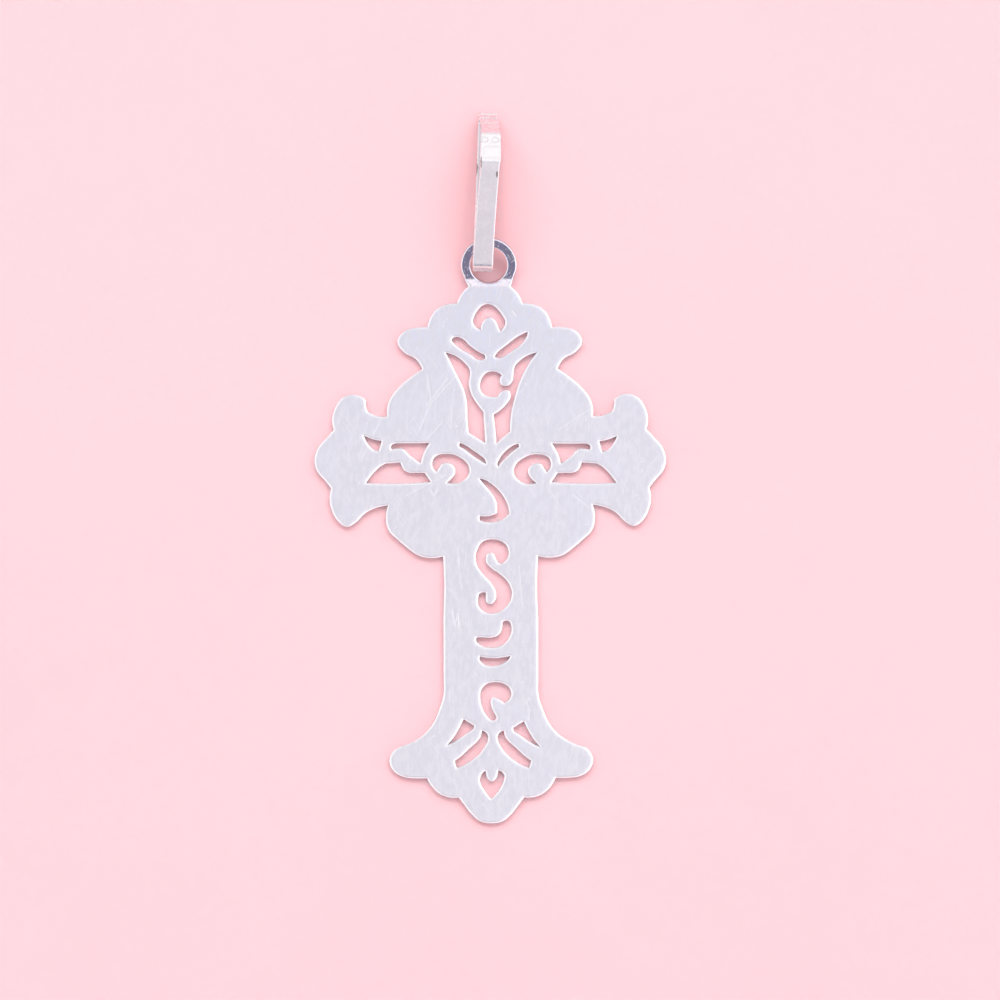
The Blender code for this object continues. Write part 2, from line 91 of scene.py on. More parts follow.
def left_of(vectors: np.ndarray) -> np.ndarray:
    """Each plane vector turned a quarter turn to the left."""
    return np.stack([-vectors[:, 1], vectors[:, 0]], axis=1)


def enclosed_area(loop: np.ndarray) -> float:
    """Area inside a closed loop, positive if it runs anticlockwise."""
    following = np.roll(loop, -1, axis=0)
    return 0.5 * float(np.sum(loop[:, 0] * following[:, 1] - loop[:, 1] * following[:, 0]))


def without_doubles(loop: np.ndarray, least: float) -> np.ndarray:
    """The loop without points nearer than a least distance to the one before."""
    kept = [loop[0]]
    for point in loop[1:]:
        if np.linalg.norm(point - kept[-1]) > least:
            kept.append(point)
    if np.linalg.norm(kept[-1] - kept[0]) <= least:
        kept.pop()
    return np.array(kept)


def smooth_loop(loop: np.ndarray, spacing: float, corner: float) -> np.ndarray:
    """A closed loop redrawn as smooth curves between its corners.

    Args:
        loop: The loop's points, in order.
        spacing: The new points' distance along the curve.
        corner: The turn, in radians, from which a point is a corner.

    Returns:
        The new loop's points. It passes through every old one.
    """
    chord = np.roll(loop, -1, axis=0) - loop
    length = np.linalg.norm(chord, axis=1, keepdims=True)
    ahead = chord / length
    back = np.roll(ahead, 1, axis=0)
    back_length = np.roll(length, 1, axis=0)
    turn = np.arccos(np.clip(np.sum(ahead * back, axis=1), -1, 1))
    shorter = np.minimum(back_length, np.roll(length, -1, axis=0))
    straight = length > LONG_RUN * shorter
    straight_back = np.roll(straight, 1, axis=0)
    tangent = unit(back / back_length + ahead / length)
    tangent = np.where(straight & ~straight_back, ahead, np.where(straight_back & ~straight, back, tangent))
    next_tangent = np.roll(tangent, -1, axis=0)
    sharp = (turn > corner)[:, None]
    next_sharp = np.roll(sharp, -1, axis=0)

    def handles(
        own: np.ndarray, other: np.ndarray, cornered: np.ndarray, other_cornered: np.ndarray
    ) -> np.ndarray:
        """Each chord's handle at one end, from the tangents and corners at that end and the other."""
        mirrored = 2 * np.sum(other * ahead, axis=1, keepdims=True) * ahead - other
        free = np.where(other_cornered, ahead, mirrored)
        way = np.where(straight, ahead, np.where(cornered, free, own))
        turned_away = 1 + np.sum(way * ahead, axis=1, keepdims=True)  # 2 on a straight run
        return way * length / (1.5 * turned_away)

    out_handle = handles(tangent, next_tangent, sharp, next_sharp)
    in_handle = handles(next_tangent, tangent, next_sharp, sharp)
    points = []
    for i, start in enumerate(loop):
        end = start + chord[i]
        steps = max(1, math.ceil(length[i, 0] / spacing))
        t = (np.arange(steps) / steps)[:, None]
        points.append(
            start * (1 - t) ** 3
            + (start + out_handle[i]) * 3 * t * (1 - t) ** 2
            + (end - in_handle[i]) * 3 * t**2 * (1 - t)
            + end * t**3
        )
    return np.concatenate(points)


def eased_loop(loop: np.ndarray, spacing: float, reach: float) -> np.ndarray:
    """A closed loop laid again at an even spacing, each point averaged over those within reach of it."""
    closed = np.concatenate([loop, loop[:1]])
    travelled = np.concatenate([[0], np.cumsum(np.linalg.norm(np.diff(closed, axis=0), axis=1))])
    count = round(travelled[-1] / spacing)
    at = np.arange(count) / count * travelled[-1]
    even = np.stack([np.interp(at, travelled, closed[:, i]) for i in (0, 1)], axis=1)
    most = round(reach / spacing)
    weights = np.hanning(2 * most + 3)[1:-1]
    weights /= weights.sum()
    return sum(np.roll(even, offset, axis=0) * weights[offset + most] for offset in range(-most, most + 1))


def stepped(corners: np.ndarray, spacing: float) -> np.ndarray:
    """Points in near-even steps along the straight runs between corners, without the last corner."""
    runs = []
    for start, end in zip(corners[:-1], corners[1:]):
        steps = max(1, round(float(np.linalg.norm(end - start)) / spacing))
        runs.append(start + (end - start) * (np.arange(steps) / steps)[:, None])
    return np.concatenate(runs)


def nearest_of(targets: np.ndarray, points: np.ndarray) -> np.ndarray:
    """Index of the target nearest to each point, in the plane or in space."""
    tree = KDTree(len(targets))
    for i, target in enumerate(targets):
        tree.insert(Vector(target).to_3d(), i)
    tree.balance()
    return np.array([tree.find(Vector(point).to_3d())[1] for point in points])


def distance_to_segments(points: np.ndarray, starts: np.ndarray, ends: np.ndarray) -> np.ndarray:
    """Distance from each point to the segment in the same row."""
    along = ends - starts
    share = np.sum((points - starts) * along, axis=1) / np.maximum(np.sum(along * along, axis=1), TINY)
    nearest = starts + along * np.clip(share, 0, 1)[:, None]
    return np.linalg.norm(points - nearest, axis=1)


class Outline:
    """The sheet's closed edges in the flat, with the material on the left of each."""

    def __init__(self, loops: list[np.ndarray]) -> None:
        """Join the outer edge and the openings' edges, given in any order and direction."""
        outer = int(np.argmax([abs(enclosed_area(loop)) for loop in loops]))
        turned = []
        for i, loop in enumerate(loops):
            anticlockwise = enclosed_area(loop) > 0
            turned.append(loop if anticlockwise == (i == outer) else loop[::-1])
        self.points = np.concatenate(turned)
        firsts = np.cumsum([0] + [len(loop) for loop in turned[:-1]])
        self.following = np.concatenate(
            [first + np.roll(np.arange(len(loop)), -1) for first, loop in zip(firsts, turned)]
        )
        self.previous = np.argsort(self.following)

    def inward(self) -> np.ndarray:
        """Direction into the material at each point, long enough to keep a corner's mitre."""
        ahead = unit(self.points[self.following] - self.points)
        back = unit(self.points - self.points[self.previous])
        both = left_of(ahead) + left_of(back)
        return both * np.minimum(2 / np.maximum(np.sum(both * both, axis=1), TINY), 2)[:, None]

    def distance(self, points: np.ndarray) -> np.ndarray:
        """Distance from each point to the nearest edge."""
        nearest = nearest_of(self.points, points)
        at = self.points[nearest]
        ahead = distance_to_segments(points, at, self.points[self.following[nearest]])
        back = distance_to_segments(points, self.points[self.previous[nearest]], at)
        return np.minimum(ahead, back)

    def holds(self, points: np.ndarray) -> np.ndarray:
        """Whether each point lies on the material."""
        x0, y0 = self.points.T
        x1, y1 = self.points[self.following].T
        inside = []
        for x, y in points:
            crossing = (y0 > y) != (y1 > y)
            share = (y - y0[crossing]) / (y1[crossing] - y0[crossing])
            at = x0[crossing] + share * (x1[crossing] - x0[crossing])
            inside.append(np.count_nonzero(at > x) % 2 == 1)
        return np.array(inside)


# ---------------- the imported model's own edges


def box_mm(node: str) -> list[np.ndarray]:
    """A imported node's lowest and highest corners, in millimetres."""
    return [np.array(corner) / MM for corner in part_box(node)]


def welded(node: str) -> bmesh.types.BMesh:
    """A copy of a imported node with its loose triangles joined, in millimetres."""
    work = bmesh.new()
    work.from_mesh(frame["nodes"][node].data)
    bmesh.ops.scale(work, vec=(1 / MM,) * 3, verts=work.verts)
    bmesh.ops.remove_doubles(work, verts=work.verts, dist=WELD)
    work.normal_update()
    return work


def edge_loops(edges: list[bmesh.types.BMEdge]) -> list[np.ndarray]:
    """Chain edges that meet end to end into closed loops of points."""
    neighbours: dict[int, list[bmesh.types.BMVert]] = {}
    for edge in edges:
        for vertex in edge.verts:
            neighbours.setdefault(vertex.index, []).append(edge.other_vert(vertex))
    starts = {edge.verts[0].index: edge.verts[0] for edge in edges}
    seen: set[int] = set()
    loops = []
    for first in starts.values():
        if first.index in seen:
            continue
        loop = [first]
        seen.add(first.index)
        at = neighbours[first.index][0]
        while at.index not in seen:
            seen.add(at.index)
            loop.append(at)
            ways = [v for v in neighbours[at.index] if v.index not in seen]
            if not ways:
                break
            at = ways[0]
        loops.append(np.array([vertex.co[:] for vertex in loop]))
    return loops


@dataclass(frozen=True)
class Fold:
    """Where and how far the ring is bent up out of the sheet."""

    line: float
    tilt: float
    sheet: float
    radius: float = 1.8

    def flatten(self, points: np.ndarray) -> np.ndarray:
        """Plan of points on the sheet's top, with the ring laid flat again."""
        along = (points[:, 1] - self.line + self.sheet / 2 * math.sin(self.tilt)) / math.cos(self.tilt)
        lifted = points[:, 2] > self.sheet + SAME_LEVEL
        return np.stack([points[:, 0], np.where(lifted, self.line + along, points[:, 1])], axis=1)

    def bend(self, points: np.ndarray) -> np.ndarray:
        """The flat sheet's points once the ring is bent up round an arc."""
        start = self.line - self.radius * math.tan(self.tilt / 2)
        past = np.maximum(points[:, 1] - start, 0)
        turn = np.minimum(past / self.radius, self.tilt)
        straight = np.maximum(past - self.radius * self.tilt, 0)
        above = points[:, 2] - self.sheet / 2
        y = start + self.radius * np.sin(turn) + straight * math.cos(self.tilt) - above * np.sin(turn)
        z = self.radius * (1 - np.cos(turn)) + straight * math.sin(self.tilt) + above * np.cos(turn)
        bent = points.copy()
        beyond = past > 0
        bent[beyond, 1] = y[beyond]
        bent[beyond, 2] = self.sheet / 2 + z[beyond]
        return bent


# ---------------- meshes


def put(name: str, data: bpy.types.ID) -> bpy.types.Object:
    """A new object at the origin, in the scene."""
    made = bpy.data.objects.new(name, data)
    bpy.context.scene.collection.objects.link(made)
    return made


def mesh_piece(name: str, points: np.ndarray, faces: list[tuple[int, ...]]) -> bpy.types.Object:
    """An object at the origin from points in millimetres, shaded smooth."""
    mesh = bpy.data.meshes.new(name)
    mesh.from_pydata((points * MM).tolist(), [], faces)
    mesh.validate()
    mesh.shade_smooth()
    return put(name, mesh)


def log_size(piece: bpy.types.Object) -> None:
    """Log a piece's count of triangles."""
    LOG.info("%s: %d triangles", piece.name, sum(len(face.vertices) - 2 for face in piece.data.polygons))


def soft_step(values: np.ndarray, low: float, high: float) -> np.ndarray:
    """0 below low, 1 above high, and a smooth rise between."""
    share = np.clip((values - low) / (high - low), 0, 1)
    return share * share * (3 - 2 * share)


@dataclass(frozen=True)
class Scratch:
    """A groove in the sheet's top: a line through plan points, from the middle of the arms."""

    route: tuple[Pair, ...]
    width: float = 0.09
    depth: float = 0.012

    def bed(self, spacing: float) -> np.ndarray:
        """Points on the groove's floor, sides and lips, enough for its shape."""
        corners = np.array(self.route)
        middle = np.concatenate([stepped(corners, spacing), corners[-1:]])
        across = left_of(unit(np.gradient(middle, axis=0)))
        offsets = (-1.0, -0.5, 0.0, 0.5, 1.0)
        return np.concatenate([middle + across * self.width * offset for offset in offsets])

    def distance(self, points: np.ndarray) -> np.ndarray:
        """Distance from each point to the middle of the groove."""
        route = np.array(self.route)
        runs = zip(route[:-1], route[1:])
        return np.min([distance_to_segments(points, start[None], end[None]) for start, end in runs], axis=0)

    def share(self, points: np.ndarray) -> np.ndarray:
        """1 in the middle of the groove, falling to 0 at its sides."""
        side = np.clip(self.distance(points) / self.width, 0, 1)
        return (1 - side * side) ** 2


SCRATCHES = (
    Scratch(((-3.1, 7.4), (-5.3, 5.0), (-6.3, 2.7)), 0.08, 0.010),
    Scratch(((-3.9, 7.1), (-5.6, 4.9))),
    Scratch(((-5.6, 7.6), (-5.3, 5.4)), 0.07, 0.009),
    Scratch(((-4.4, 3.2), (-5.9, 1.5)), 0.07, 0.009),
    Scratch(((-3.9, -1.4), (-7.6, -3.3)), 0.07, 0.012),
    Scratch(((-3.4, 4.7), (-3.5, 2.8)), 0.06, 0.008),
    Scratch(((-9.8, 3.6), (-11.6, -0.2)), 0.07, 0.006),
    Scratch(((-5.3, -2.8), (-5.0, -3.3), (-4.8, -2.9)), 0.07, 0.014),
    Scratch(((-3.4, -13.7), (-3.2, -14.9), (-2.9, -13.9), (-2.8, -15.0)), 0.06, 0.016),
    Scratch(((2.1, 13.3), (2.4, 12.9)), 0.06, 0.016),
    Scratch(((3.2, -21.8), (3.5, -22.6), (3.4, -23.4)), 0.06, 0.010),
    Scratch(((6.2, 2.6), (8.9, 4.4)), 0.06, 0.006),
    Scratch(((7.4, -3.2), (9.6, -4.9)), 0.06, 0.006),
    Scratch(((-1.9, -25.7), (-3.6, -27.6)), 0.06, 0.008),
    Scratch(((-2.9, -8.1), (-2.6, -11.6)), 0.05, 0.006),
    Scratch(((2.6, -9.7), (2.9, -13.4)), 0.05, 0.006),
)


@dataclass
class PiercedCross:
    """The cross and its ring: one sawn sheet with burnished rims."""

    node: str = "cross_plate"
    body: str = "cross"
    spacing: float = 0.12  # points along an edge
    corner: float = math.radians(38)
    rows: tuple[float, ...] = (0.04, 0.09, 0.14, 0.19)  # rows of points beside each edge
    row_clear: float = 0.93  # share of its distance that a row's point keeps from every edge
    bed_clear: float = 0.05  # from the last row to a scratch's points
    grid: float = 0.32
    grid_clear: float = 0.45  # from the last row to the grid, in shares of the grid
    groove_clear: float = 0.3  # from a scratch's points, the same way
    top_rim: float = 0.19
    top_rim_drop: float = 0.11
    rim_curve: float = 1.5
    ring_rim: float = 0.35  # share of the rim left on the ring
    ring_start: Pair = (-0.2, 0.4)  # where it narrows, past the fold
    bottom_rim: float = 0.1
    wave: float = 0.012
    wave_length: float = 5.0
    wave_seed: int = 7
    ridge_reach: float = 0.55
    ridge_height: float = 0.065
    sharp_angle: float = math.radians(40)
    arm_tip: float = 0.99  # share of the half span from which the outline is an arm's tip
    fold: Fold = field(init=False)
    outline: Outline = field(init=False)
    arms_y: float = field(init=False)

    def __post_init__(self) -> None:
        """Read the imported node's fold and edges."""
        work = welded(self.node)
        flat = [face for face in work.faces if face.normal.z > LEVEL]
        raised = [face for face in work.faces if LEANING < face.normal.z < LEVEL]
        slope = sum((face.normal * face.calc_area() for face in raised), Vector()).normalized()
        self.fold = Fold(
            line=max(vertex.co.y for face in flat for vertex in face.verts),
            tilt=math.acos(slope.z),
            sheet=max(vertex.co.z for face in flat for vertex in face.verts),
        )
        rim = []
        for edge in work.edges:
            upward = [face.normal.z for face in edge.link_faces]
            if min(map(abs, upward)) < STEEP and max(upward) > LEANING:
                rim.append(edge)
        loops = [without_doubles(self.fold.flatten(loop), DOUBLE) for loop in edge_loops(rim)]
        self.outline = Outline([smooth_loop(loop, self.spacing, self.corner) for loop in loops])
        widest = max(loops, key=lambda loop: float(np.ptp(loop[:, 0])))
        at_arms = widest[np.abs(widest[:, 0]) > widest[:, 0].max() * self.arm_tip]
        self.arms_y = float(at_arms[:, 1].mean())
        work.free()

    def scratches(self) -> list[Scratch]:
        """The scratches, moved to where the arms are."""
        return [
            Scratch(tuple((x, y + self.arms_y) for x, y in mark.route), mark.width, mark.depth)
            for mark in SCRATCHES
        ]

    def plan_points(self) -> np.ndarray:
        """Free points of the plan: rows along the rims, beds of scratches and an even grid."""
        inward = self.outline.inward()
        kept = []
        for row in self.rows:
            moved = self.outline.points + inward * row
            kept.append(moved[self.outline.distance(moved) > row * self.row_clear])
        beds = np.concatenate([mark.bed(self.spacing) for mark in self.scratches()])
        beds = beds[self.outline.holds(beds)]
        beds = beds[self.outline.distance(beds) > self.rows[-1] + self.bed_clear]
        kept.append(beds)
        low, high = self.outline.points.min(axis=0), self.outline.points.max(axis=0)
        grid = []
        for i, y in enumerate(np.arange(low[1], high[1], self.grid * math.sqrt(0.75))):
            xs = np.arange(low[0] + self.grid * 0.5 * (i % 2), high[0], self.grid)
            grid.append(np.stack([xs, np.full(len(xs), y)], axis=1))
        points = np.concatenate(grid)
        points = points[self.outline.holds(points)]
        points = points[self.outline.distance(points) > self.rows[-1] + self.grid * self.grid_clear]
        for mark in self.scratches():
            points = points[mark.distance(points) > mark.width + self.grid * self.groove_clear]
        return np.concatenate(kept + [points])

    def triangles(self) -> tuple[np.ndarray, np.ndarray, np.ndarray]:
        """Cut the plan into triangles.

        Returns:
            The plan's points, its triangles, and the new index of each point of the outline.
        """
        count = len(self.outline.points)
        points = np.concatenate([self.outline.points, self.plan_points()])
        edges = [(i, int(j)) for i, j in enumerate(self.outline.following)]
        found = delaunay_2d_cdt([Vector(p) for p in points], edges, [], 0, 1e-6)
        plan = np.array([co[:] for co in found[0]])
        renamed = np.zeros(len(points), int)
        for new, olds in enumerate(found[3]):
            for old in olds:
                renamed[old] = new
        on_edge = np.zeros(len(plan), bool)
        on_edge[renamed[:count]] = True
        triangles = np.array(found[2])
        all_edge = on_edge[triangles].all(axis=1)
        keep = ~all_edge
        keep[all_edge] = self.outline.holds(plan[triangles[all_edge]].mean(axis=1))
        return plan, triangles[keep], renamed[:count]

    def height(self, plan: np.ndarray, away: np.ndarray, side: Side) -> np.ndarray:
        """Height of one side of the flat sheet over the plan.

        Args:
            plan: Points of the plan.
            away: Each point's distance from the nearest edge.
            side: Which side of the sheet.

        Returns:
            The height of each point.
        """
        if side is Side.BOTTOM:
            inset = self.bottom_rim - np.minimum(away, self.bottom_rim)
            return self.bottom_rim - np.sqrt(self.bottom_rim**2 - inset**2)
        on_ring = soft_step(plan[:, 1] - self.fold.line, *self.ring_start)
        rim_share = 1 - (1 - self.ring_rim) * on_ring
        slope = 1 - np.minimum(away / (self.top_rim * rim_share), 1)
        drop = self.top_rim_drop * rim_share * slope**self.rim_curve
        across = plan / self.wave_length
        waves = np.array([noise.noise((x, y, self.wave_seed)) for x, y in across])
        drop += self.wave * (1 + waves) * soft_step(away, 0, 1) * 0.5
        for mark in self.scratches():
            drop += mark.depth * mark.share(plan)
        return self.fold.sheet - drop + self.ridge(plan)

    def ridge(self, plan: np.ndarray) -> np.ndarray:
        """Height of the soft ridge that the bending left across the neck, along the fold."""
        away = np.abs(plan[:, 1] - self.fold.line)
        return self.ridge_height * (1 - soft_step(away, 0, self.ridge_reach))

    def build(self, finish: "SatinSilver") -> bpy.types.Object:
        """Make the sheet's closed mesh and dress it.

        Args:
            finish: The metal's finish.

        Returns:
            The piece, which rides on the cross.
        """
        plan, triangles, rim = self.triangles()
        away = self.outline.distance(plan)
        away[rim] = 0
        skins = [np.column_stack([plan, self.height(plan, away, side)]) for side in Side]
        points = np.clip(self.fold.bend(np.concatenate(skins)), *box_mm(self.node))
        count = len(plan)
        faces = [(int(a), int(b), int(c)) for a, b, c in triangles]
        faces += [(c + count, b + count, a + count) for a, b, c in faces]
        for i, j in enumerate(self.outline.following):
            a, b = int(rim[i]), int(rim[j])
            if a != b:
                faces.append((b, a, a + count, b + count))
        piece = mesh_piece("pierced_cross", points, faces)
        piece.data.set_sharp_from_angle(angle=self.sharp_angle)
        # the scratches' share, which the material lightens as a painted glint
        bright = np.max([mark.share(plan) for mark in self.scratches()], axis=0)
        layer = piece.data.attributes.new("scratch", "FLOAT", "POINT")
        layer.data.foreach_set("value", np.concatenate([bright, np.zeros(count)]).astype(np.float32))
        piece.data.materials.append(finish.build(self))
        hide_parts(self.node)
        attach(piece, self.body)
        log_size(piece)
        return piece


# ---------------- node trees


class Nodes:
    """Adds nodes to a tree and joins them up."""

    def __init__(self, tree: bpy.types.NodeTree) -> None:
        """Work on a tree that is empty or holds its default nodes."""
        self.tree = tree

    def feed(self, node: bpy.types.Node, values: dict) -> None:
        """Give a node's inputs their values, or join them to other nodes' outputs."""
        for name, value in values.items():
            if isinstance(value, Socket):
                self.tree.links.new(value, node.inputs[name])
            else:
                node.inputs[name].default_value = value

    def add(self, kind: str, values: dict | None = None, **settings: object) -> list[Socket]:
        """Add a node.

        Args:
            kind: Blender's name for the node.
            values: What each input takes: a value, or another node's output.
            settings: The node's own properties.

        Returns:
            The new node's outputs.
        """
        node = self.tree.nodes.new(kind)
        for name, value in settings.items():
            setattr(node, name, value)
        self.feed(node, values or {})
        return node.outputs

    def math(self, operation: str, *values: object, clamp: bool = False) -> Socket:
        """The result of a Math node."""
        return self.add("ShaderNodeMath", dict(enumerate(values)), operation=operation, use_clamp=clamp)[0]

    def vector_math(self, operation: str, *values: object) -> list[Socket]:
        """A Vector Math node's outputs, Vector and Value."""
        return self.add("ShaderNodeVectorMath", dict(enumerate(values)), operation=operation)

    def parts(self, vector: Socket) -> list[Socket]:
        """A vector's x, y and z."""
        return self.add("ShaderNodeSeparateXYZ", {0: vector})

    def ramp(self, value: Socket, low: float, high: float, start: float = 0.0, end: float = 1.0) -> Socket:
        """A value's smooth rise from start to end as it goes from low to high."""
        values = {"Value": value, "From Min": low, "From Max": high, "To Min": start, "To Max": end}
        return self.add("ShaderNodeMapRange", values, interpolation_type="SMOOTHSTEP")["Result"]

    def mixed(self, share: object, first: object, second: object) -> Socket:
        """A colour between two, by a share."""
        return self.add("ShaderNodeMix", {0: share, 6: first, 7: second}, data_type="RGBA")[2]

    def noise(self, place: Socket, scale: float, detail: float = 2.0) -> Socket:
        """A noise's value over a place."""
        return self.add("ShaderNodeTexNoise", {"Vector": place, "Scale": scale, "Detail": detail})["Fac"]

    def grain(self, place: Socket, turn: float, scale: Triple, detail: float, shift: float = 0.0) -> Socket:
        """A noise over a place turned about the sheet's normal, shifted, then scaled."""
        values = {"Vector": place, "Rotation": (0.0, 0.0, turn), "Location": (shift, shift, 0.0)}
        turned = self.add("ShaderNodeMapping", values)[0]
        return self.noise(self.add("ShaderNodeMapping", {"Vector": turned, "Scale": scale})[0], 1.0, detail)


class Surface(Nodes):
    """A new material, with its shader and its place in millimetres at hand."""

    def __init__(self, name: str) -> None:
        """Start the material."""
        self.made = bpy.data.materials.new(name)
        self.made.use_nodes = True
        super().__init__(self.made.node_tree)
        self.shader = self.tree.nodes["Principled BSDF"]
        place = self.add("ShaderNodeTexCoord")["Object"]
        self.place = self.add("ShaderNodeMapping", {"Vector": place, "Scale": (1 / MM,) * 3})[0]

    def dress(
        self, colour: Socket, values: dict, height: Socket, strength: float, depth: float
    ) -> bpy.types.Material:
        """Finish the shader.

        Args:
            colour: The base colour.
            values: What the shader's other inputs take.
            height: The surface's relief, from 0 to 1.
            strength: How much the relief tips the light.
            depth: The relief's depth, in millimetres.

        Returns:
            The material.
        """
        relief = {"Height": height, "Strength": strength, "Distance": depth * MM}
        normal = self.add("ShaderNodeBump", relief)[0]
        self.feed(self.shader, {"Base Color": colour, "Normal": normal, **values})
        return self.made


@dataclass(frozen=True)
class SatinSilver:
    """Silver rubbed to a satin along the cross's length, and polished on the ring, with a painted blue
    reflection towards the neck and painted glints in its scratches, hairlines and pits.
    """

    colour: Colour = (0.93, 0.92, 0.945, 1.0)
    # painted reflection: a bluer silver that stands for the bluish room mirrored near the neck
    painted_reflection_blue: Colour = (0.84, 0.855, 0.97, 1.0)
    dull: Colour = (0.875, 0.87, 0.905, 1.0)
    # painted glint: a lighter silver for the light caught in scratches, hairlines and pits
    mark_glint: Colour = (1.0, 0.995, 1.0, 1.0)
    satin: float = 0.33
    satin_change: float = 0.07
    polish: float = 0.15
    polish_change: float = 0.06
    grain: Triple = (7.0, 0.9, 7.0)
    streaks: Triple = (2.7, 1.1, 2.7)
    hairline: Triple = (5.5, 0.32, 5.5)
    hairlines: tuple[Pair, ...] = ((0.06, 0.0), (-0.62, 3.0), (0.75, 7.0), (0.28, 11.0))  # turn, shift
    relief: Pair = (0.25, 0.02)
    ring_start: Pair = (-0.5, -0.1)

    def build(self, cross: PiercedCross) -> bpy.types.Material:
        """The material, with its polish where the ring starts."""
        made = Surface("satin_silver")
        place = made.place
        along = made.parts(place)["Y"]
        line = cross.fold.line
        ring = made.ramp(along, line + self.ring_start[0], line + self.ring_start[1])

        patches = made.noise(place, 0.16)
        # painted reflection: the colour turns bluer from the arms up to the fold, mixed with random patches
        # of tone
        painted_blue_towards_neck = made.ramp(along, cross.arms_y, line, 0.0, 0.75)
        shade = made.math("ADD", painted_blue_towards_neck, made.ramp(patches, 0.35, 0.7, -0.15, 0.25), clamp=True)
        colour = made.mixed(shade, self.colour, self.painted_reflection_blue)

        grain = made.grain(place, 0.04, self.grain, 3.0)
        lines = made.ramp(grain, 0.7, 0.85)
        for turn, shift in self.hairlines:
            fine = made.grain(place, turn, self.hairline, 1.0, shift)
            lines = made.math("MAXIMUM", lines, made.ramp(fine, 0.66, 0.74))
        pits = made.ramp(made.noise(place, 3.1, 1.0), 0.72, 0.8)
        scratch = made.add("ShaderNodeAttribute", attribute_name="scratch")["Fac"]
        marks = made.math("MAXIMUM", scratch, pits)
        # painted glint: scratches and pits, and faintly the hairlines, made lighter; the marks themselves
        # are real wear
        mark_glint = made.math("MAXIMUM", marks, made.math("MULTIPLY", lines, 0.3))
        streaks = made.grain(place, 0.02, self.streaks, 5.0)
        mottled = made.mixed(made.ramp(streaks, 0.38, 0.62), colour, self.dull)
        colour = made.mixed(mark_glint, mottled, self.mark_glint)

        rough = made.math("MULTIPLY_ADD", grain, self.satin_change * 2, self.satin - self.satin_change)
        rough = made.math("MULTIPLY_ADD", made.ramp(patches, 0.3, 0.7), 0.04, rough)
        change = self.polish_change
        ring_rough = made.math("MULTIPLY_ADD", made.noise(place, 1.6, 3.0), change * 2, self.polish - change)
        both = made.add("ShaderNodeMix", {0: ring, 2: rough, 3: ring_rough}, data_type="FLOAT")[0]
        height = made.math("SUBTRACT", made.math("ADD", grain, lines), pits)
        return made.dress(colour, {"Metallic": 1.0, "Roughness": both}, height, *self.relief)


@dataclass(frozen=True)
class Tarnish:
    """A dark stain: its middle, its half sizes along each axis, and how dark it is."""

    middle: Triple
    half_size: Triple
    strength: float


@dataclass(frozen=True)
class WornSilver:
    """Polished silver gone slightly warm and dull, with stains in its creases and a painted pink reflection
    of the paper on the strap's toe.
    """

    colour: Colour = (0.865, 0.835, 0.85, 1.0)
    # painted reflection: the pink of the paper mirrored in the toe's lower face
    toe: Colour = (0.93, 0.74, 0.72, 1.0)
    warm: Colour = (0.85, 0.79, 0.775, 1.0)
    stain: Colour = (0.16, 0.12, 0.11, 1.0)
    polish: float = 0.28
    polish_change: float = 0.08
    stain_ragged: float = 1.6
    stain_edge: Pair = (0.75, 1.15)
    stain_rough: float = 0.3
    paper_reflection_fade: Pair = (0.35, 0.75)  # past the toe's end
    grain: Triple = (8.0, 1.2, 1.2)
    relief: Pair = (0.12, 0.02)

    def build(self, stains: list[Tarnish], toe_end: float) -> bpy.types.Material:
        """The material, with its stains, and the place along the cross where the strap's toe ends, near
        which the paper's pink reflection is painted.
        """
        made = Surface("polished_silver")
        place = made.place
        patches = made.noise(place, 0.8, 3.0)
        colour = made.mixed(made.ramp(patches, 0.4, 0.9, 0.0, 0.4), self.colour, self.warm)
        # painted reflection: the paper's pink on the toe, fading out above its end
        start, end = (toe_end + away for away in self.paper_reflection_fade)
        colour = made.mixed(made.ramp(made.parts(place)["Y"], start, end, 1.0, 0.0), colour, self.toe)
        change = self.polish_change
        rough = made.math("MULTIPLY_ADD", made.noise(place, 2.2, 3.0), change * 2, self.polish - change)
        broken = made.noise(place, 4.5, 4.0)
        for mark in stains:
            away = made.vector_math("SUBTRACT", place, mark.middle)[0]
            reach = made.vector_math("LENGTH", made.vector_math("DIVIDE", away, mark.half_size)[0])["Value"]
            inner = made.math("SUBTRACT", reach, self.stain_ragged / 2)
            ragged = made.math("MULTIPLY_ADD", broken, self.stain_ragged, inner)
            dark = made.ramp(ragged, *self.stain_edge, mark.strength, 0.0)
            colour = made.mixed(dark, colour, self.stain)
            rough = made.math("MULTIPLY_ADD", dark, self.stain_rough, rough)
        height = made.math("ADD", made.grain(place, 0.0, self.grain, 3.0), patches)
        return made.dress(colour, {"Metallic": 1.0, "Roughness": rough}, height, *self.relief)


# ---------------- the bail


@dataclass
class StrapShape:
    """The bail's shape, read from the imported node, with its lean taken out."""

    side_view: np.ndarray
    thickness: float
    pivot: np.ndarray
    lean: float
    middle: float
    toe_width: float
    top_width: float
    skew: float
    low: float
    high: float
    depth: float


